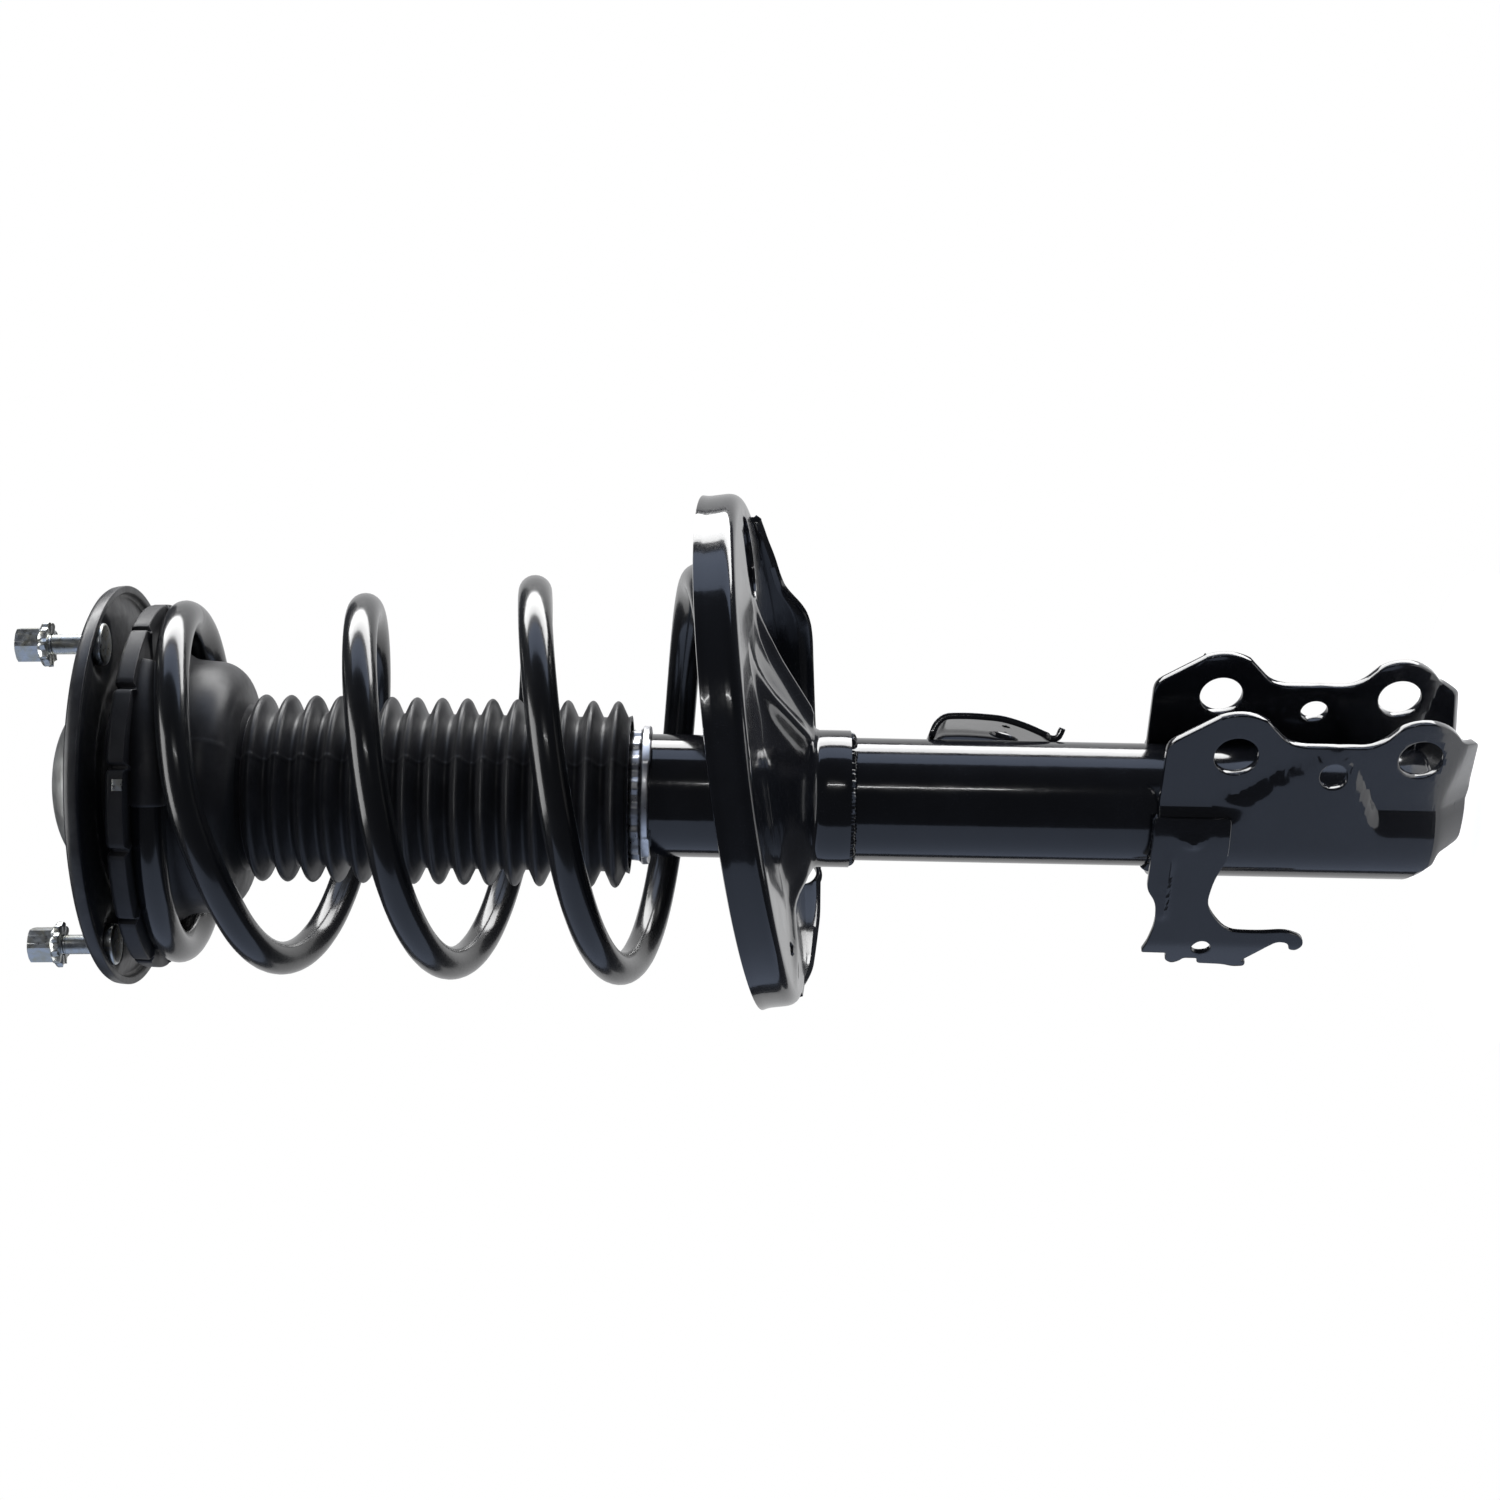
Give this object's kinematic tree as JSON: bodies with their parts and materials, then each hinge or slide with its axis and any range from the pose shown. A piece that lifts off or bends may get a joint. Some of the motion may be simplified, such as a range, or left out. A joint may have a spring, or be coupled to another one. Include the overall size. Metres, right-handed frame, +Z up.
{
  "type": "strut assembly",
  "caption": "Front suspension strut assembly: damper with coil spring, top mount with studs, dust boot, lower spring seat and knuckle clevis.",
  "frame": {"origin": "centre of the circle of body studs, on the top face of the mount plate", "axes": "+Z up the strut axis towards the top mount, +X outboard towards the knuckle ears"},
  "size_m": [0.2102, 0.21, 0.5829],
  "materials": {
    "black_paint": "gloss black electro-coat",
    "spring_paint": "gloss black powder coat",
    "plate_paint": "semi-gloss black electro-coat",
    "zinc": "bright zinc plate",
    "housing_steel": "bare drawn steel",
    "rubber": "semi-matte moulded",
    "boot_rubber": "semi-matte moulded",
    "bearing_plastic": "moulded nylon",
    "ball_steel": "polished",
    "rod_chrome": "hard chrome, ground",
    "turned_steel": "machined",
    "band_plastic": "filled PTFE",
    "urethane": "cellular urethane foam",
    "cap_aluminium": "bare, pressed"
  },
  "bodies": {
    "top_mount": {"mount_plate": "plate_paint", "mount_studs": "zinc", "stud_nuts": "zinc", "mount_housing": "housing_steel", "mount_rubber": "rubber", "mount_sleeve": "turned_steel", "cup_washer": "zinc", "rod_nut": "zinc", "bearing_cover": "bearing_plastic", "bearing_balls": "ball_steel", "bump_cup": "plate_paint", "bump_stop": "urethane", "piston_rod": "rod_chrome", "rebound_stop": "turned_steel", "piston": "turned_steel", "piston_band": "band_plastic", "piston_nut": "zinc"},
    "upper_seat_body": {"bearing_ring": "bearing_plastic", "upper_seat": "plate_paint", "upper_insulator": "rubber", "coil_spring": "spring_paint", "dust_boot": "boot_rubber"},
    "strut_body": {"outer_tube": "black_paint", "inner_tube": "turned_steel", "base_valve": "turned_steel", "rod_guide": "turned_steel", "rod_seal": "rubber", "cap_ring": "cap_aluminium", "bottom_cap": "black_paint", "lower_seat": "black_paint", "lower_insulator": "rubber", "link_bracket": "black_paint", "knuckle_clevis": "black_paint", "hose_bracket": "black_paint", "weld_beads": "black_paint"}
  },
  "joints": [
    {"name": "bearing_swivel", "type": "hinge", "parent": "top_mount", "child": "upper_seat_body", "pos_m": [0, 0, -0.013], "axis": [0, 0, 1], "continuous": true},
    {"name": "damper_stroke", "type": "slide", "parent": "upper_seat_body", "child": "strut_body", "axis": [0, 0, 1], "range_m": [0, 0.11], "stiffness_N_per_m": 24000, "springref_m": -0.05, "deforming": ["coil_spring", "dust_boot"]}
  ]
}
